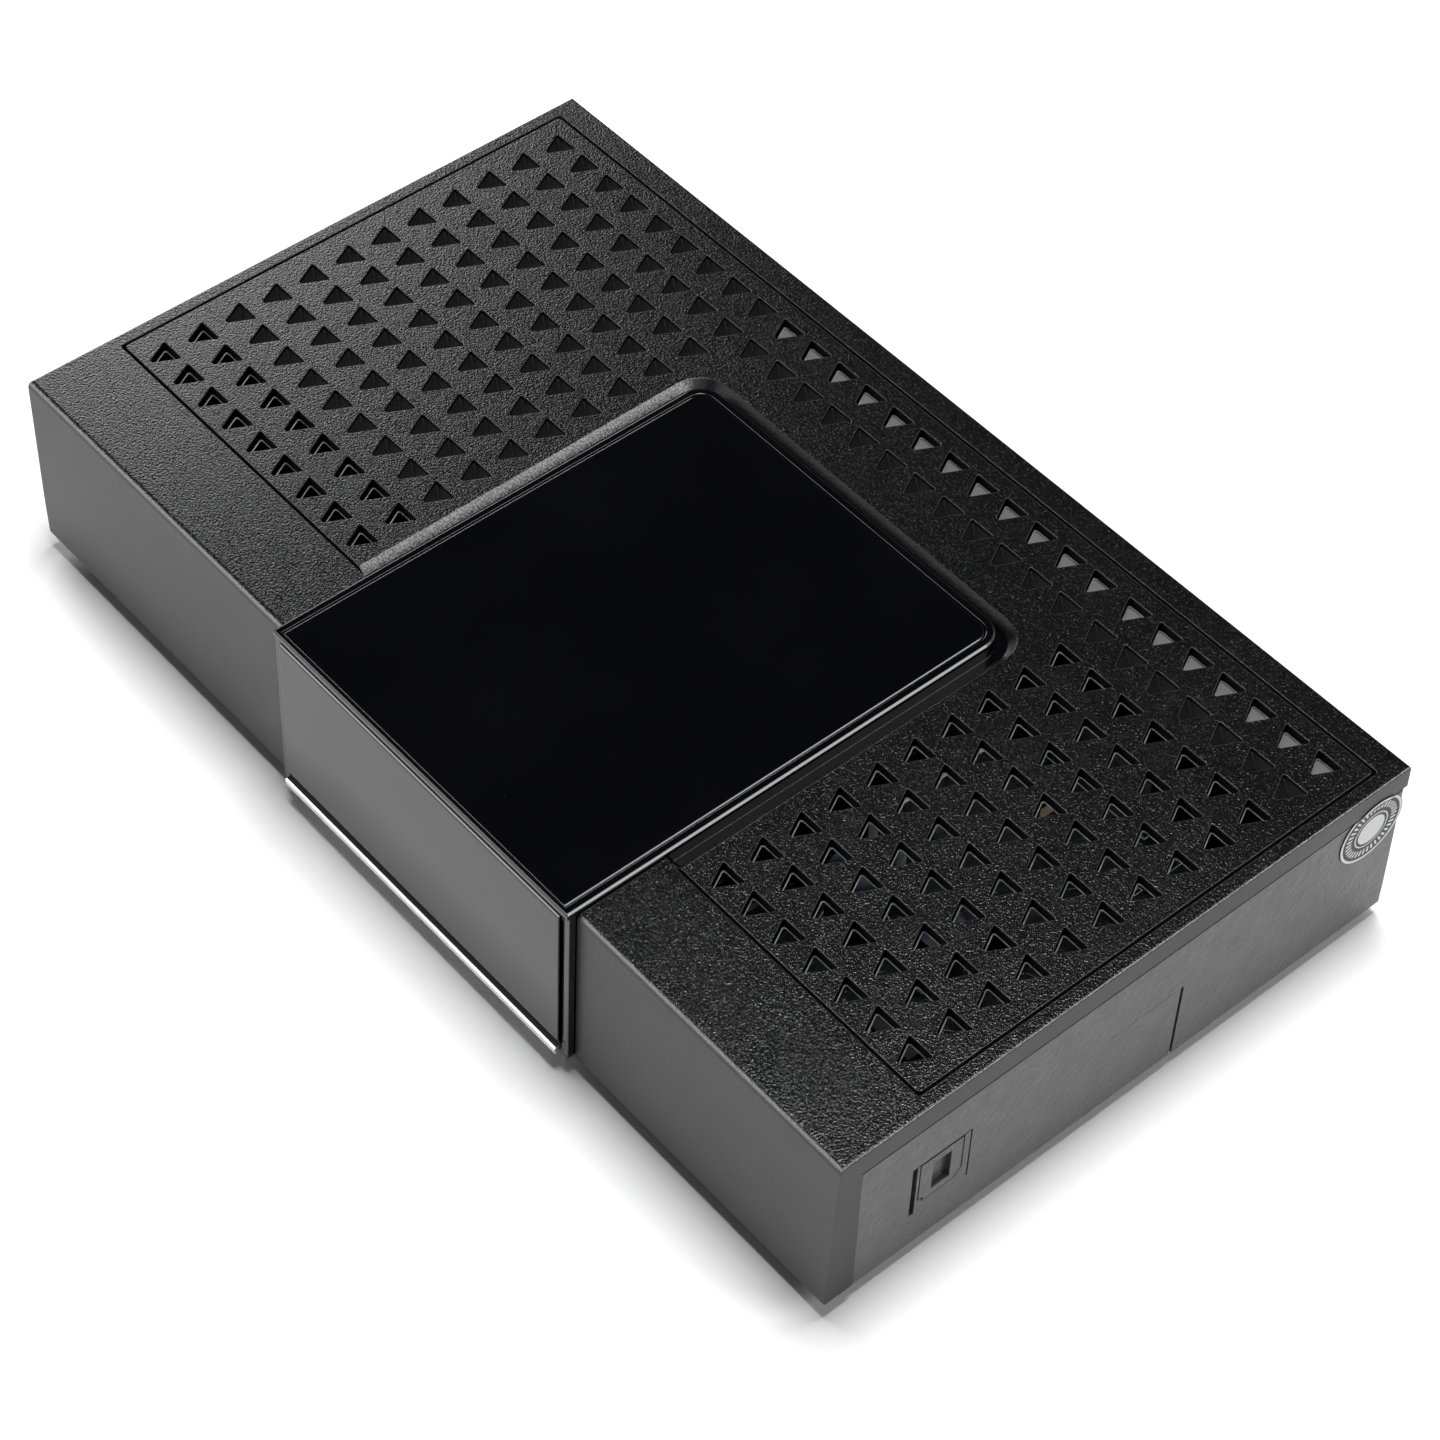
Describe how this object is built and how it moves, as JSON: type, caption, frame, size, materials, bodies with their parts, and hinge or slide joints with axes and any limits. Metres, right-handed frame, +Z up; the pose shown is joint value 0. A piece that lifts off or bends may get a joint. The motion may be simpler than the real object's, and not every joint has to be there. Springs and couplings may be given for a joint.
{
  "type": "cable tv receiver",
  "caption": "Flat black television receiver box with a vented lid, a raised gloss centre, a drop-down style front flap over its controls and a rear wall of sockets.",
  "frame": {"origin": "middle of the footprint on the table surface that the rubber feet stand on", "axes": "+X to the right seen from the front, +Y from the front to the rear sockets, +Z up"},
  "size_m": [0.1681, 0.1028, 0.0319],
  "materials": {
    "case_black": "fine grain, satin",
    "base_black": "satin",
    "gloss_black": "high gloss",
    "bright_trim": "bright",
    "steel": "plain",
    "screw_black": "blackened",
    "tin": "bright tin",
    "inner_black": "plain",
    "window_red": "tinted",
    "key_grey": "satin",
    "switch_parts": "plain",
    "board_green": "solder mask",
    "display": "plain",
    "receiver": "dark lens",
    "lamp": "clear red",
    "chip_black": "moulded epoxy",
    "fins": "extruded",
    "can_sleeve": "sleeved",
    "connector_white": "plain",
    "ribbon": "film",
    "gold": "gold plated",
    "nickel": "nickel plated",
    "foot_rubber": "matt",
    "sticker": "printed film",
    "label": "printed film, bare"
  },
  "bodies": {
    "case": {"top_cover": "case_black", "vent_grille": "case_black", "base_tray": "base_black", "panel_bezel": "gloss_black", "gloss_plate": "gloss_black", "hinge_pins": "steel", "board_screws": "steel", "case_screws": "screw_black", "tuner_can": "tin", "rear_shield": "tin", "usb_socket": "tin", "hdmi_socket": "tin", "lan_socket": "tin", "crystal_can": "tin", "front_fascia": "inner_black", "card_reader": "inner_black", "optical_socket": "inner_black", "dc_jack": "inner_black", "power_switch_housing": "inner_black", "display_window": "window_red", "tact_switches": "switch_parts", "main_board": "board_green", "front_board": "board_green", "display_module": "display", "ir_receiver": "receiver", "status_led": "lamp", "processor_chip": "chip_black", "memory_chips": "chip_black", "flash_chip": "chip_black", "power_coils": "chip_black", "heat_sink": "fins", "capacitors": "can_sleeve", "ribbon_connectors": "connector_white", "ribbon_cable": "ribbon", "card_contacts": "gold", "rf_input_socket": "nickel", "rf_output_plug": "nickel", "rubber_feet": "foot_rubber", "seal_sticker": "sticker", "rating_label": "label"},
    "flap": {"front_flap": "gloss_black", "flap_lip": "bright_trim"},
    "standby_key": {"standby_button": "key_grey", "standby_plunger": "switch_parts"},
    "channel_down_key": {"channel_down_button": "key_grey", "channel_down_plunger": "switch_parts"},
    "channel_up_key": {"channel_up_button": "key_grey", "channel_up_plunger": "switch_parts"},
    "rocker": {"power_rocker": "inner_black"},
    "shutter": {"optical_shutter": "inner_black"}
  },
  "joints": [
    {"name": "flap_hinge", "type": "hinge", "parent": "case", "child": "flap", "pos_m": [0.0054, -0.04872, 0.0291], "axis": [-1, 0, 0], "range_deg": [0, 85]},
    {"name": "standby_press", "type": "slide", "parent": "case", "child": "standby_key", "axis": [0, 1, 0], "range_m": [0, 0.0004], "stiffness_N_per_m": 800, "springref_m": -0.0008},
    {"name": "channel_down_press", "type": "slide", "parent": "case", "child": "channel_down_key", "axis": [0, 1, 0], "range_m": [0, 0.0004], "stiffness_N_per_m": 800, "springref_m": -0.0008},
    {"name": "channel_up_press", "type": "slide", "parent": "case", "child": "channel_up_key", "axis": [0, 1, 0], "range_m": [0, 0.0004], "stiffness_N_per_m": 800, "springref_m": -0.0008},
    {"name": "power_tip", "type": "hinge", "parent": "case", "child": "rocker", "pos_m": [-0.06, 0.04398, 0.0168], "axis": [0, 0, 1], "range_deg": [0, 16]},
    {"name": "shutter_swing", "type": "hinge", "parent": "case", "child": "shutter", "pos_m": [-0.018, 0.04478, 0.01905], "axis": [-1, 0, 0], "range_deg": [0, 80], "stiffness_Nm_per_rad": 0.0005, "springref_deg": -20.05}
  ]
}
